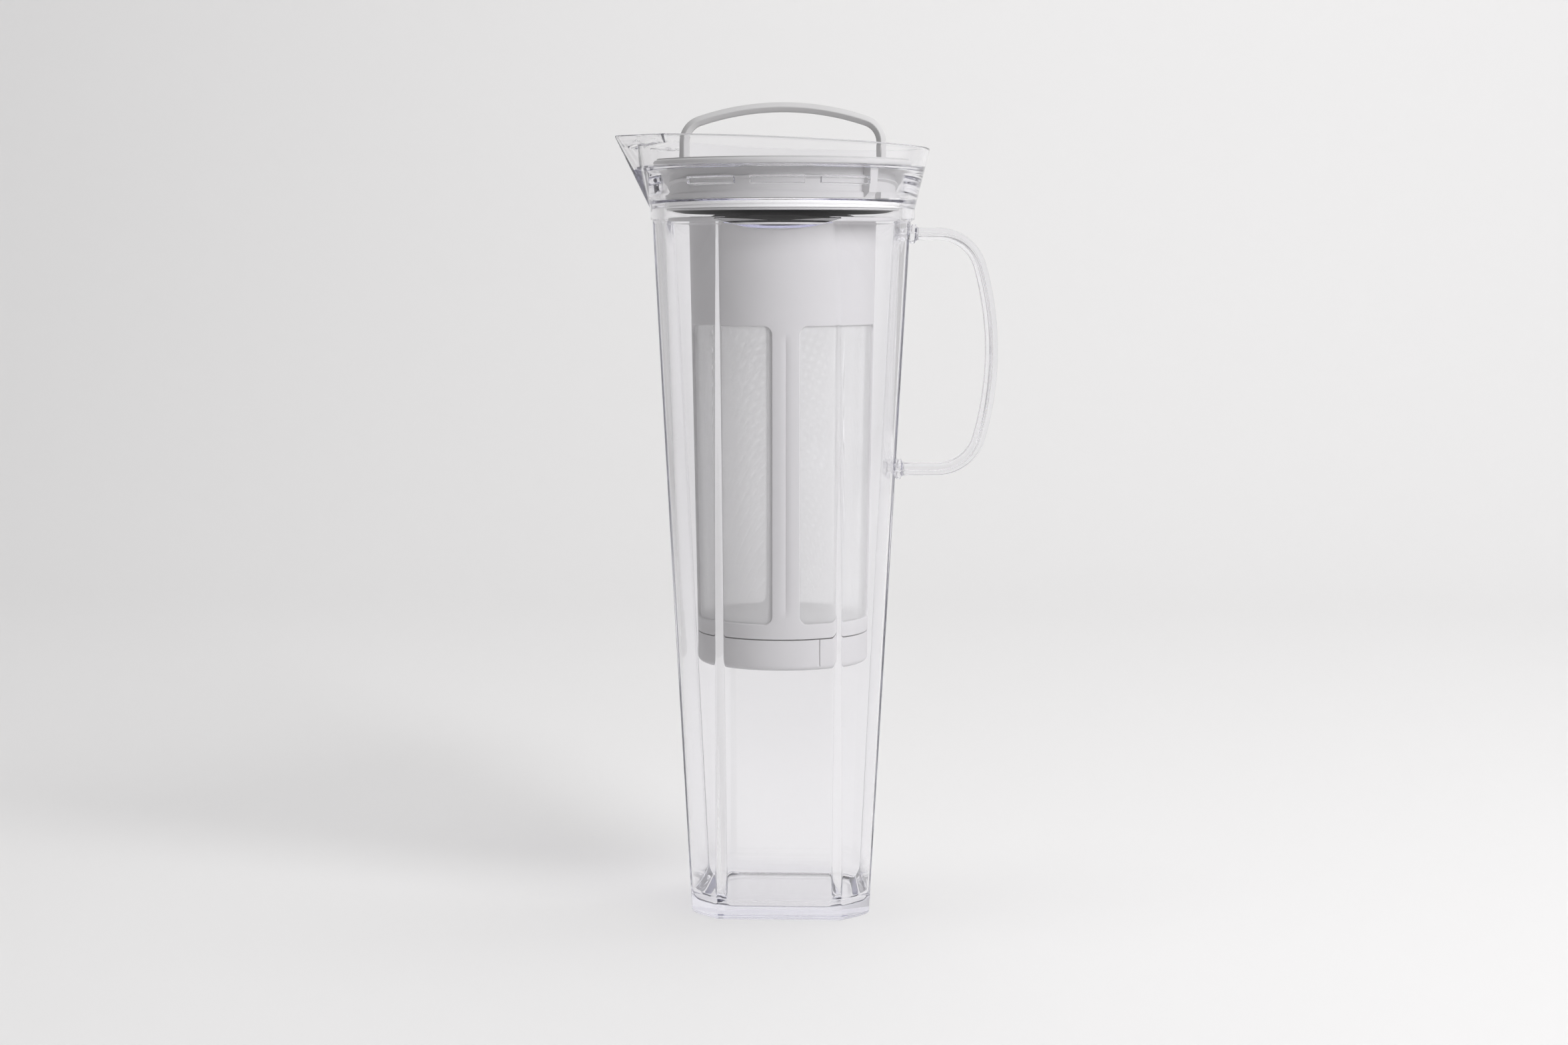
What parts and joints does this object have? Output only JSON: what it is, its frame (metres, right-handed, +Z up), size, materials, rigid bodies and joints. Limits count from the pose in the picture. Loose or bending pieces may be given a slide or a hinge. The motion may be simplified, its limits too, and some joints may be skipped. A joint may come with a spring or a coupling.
{
  "type": "cold brew tea pitcher",
  "caption": "Clear tall jug with a round collar, pinched spout and strap handle, a grey twist-on lid with a carrying loop, and a hanging tea strainer with mesh windows and a twist-off cap.",
  "frame": {"origin": "middle of the flat underside, on the jug's axis", "axes": "+Z up along the jug's axis, -X toward the spout, +X toward the handle, -Y toward the viewer of the picture"},
  "size_m": [0.1431, 0.11, 0.3003],
  "materials": {
    "clear_plastic": "polished clear",
    "grey_plastic": "satin",
    "lid_plastic": "satin",
    "silicone": "matt translucent white",
    "mesh": "fine woven nylon"
  },
  "bodies": {
    "jug": {"jug_body": "clear_plastic", "handle": "clear_plastic"},
    "strainer": {"strainer_frame": "grey_plastic", "mesh_front_right": "mesh", "mesh_back_right": "mesh", "mesh_back_left": "mesh", "mesh_front_left": "mesh"},
    "cap": {"strainer_cap": "grey_plastic"},
    "seal": {"lid_gasket": "silicone"},
    "lid": {"lid_cap": "lid_plastic", "lid_base": "lid_plastic", "lid_loop": "lid_plastic"}
  },
  "joints": [
    {"name": "strainer_lift", "type": "slide", "parent": "jug", "child": "strainer", "axis": [0, 0, 1], "range_m": [0, 0.2]},
    {"name": "cap_twist", "type": "hinge", "parent": "strainer", "child": "cap", "pos_m": [0, 0, 0.1], "axis": [0, 0, 1], "range_deg": [0, 30]},
    {"name": "lid_lift", "type": "slide", "parent": "strainer", "child": "seal", "axis": [0, 0, 1], "range_m": [0, 0.06]},
    {"name": "lid_twist", "type": "hinge", "parent": "seal", "child": "lid", "pos_m": [0, 0, 0.27], "axis": [0, 0, 1], "range_deg": [0, 88]}
  ]
}
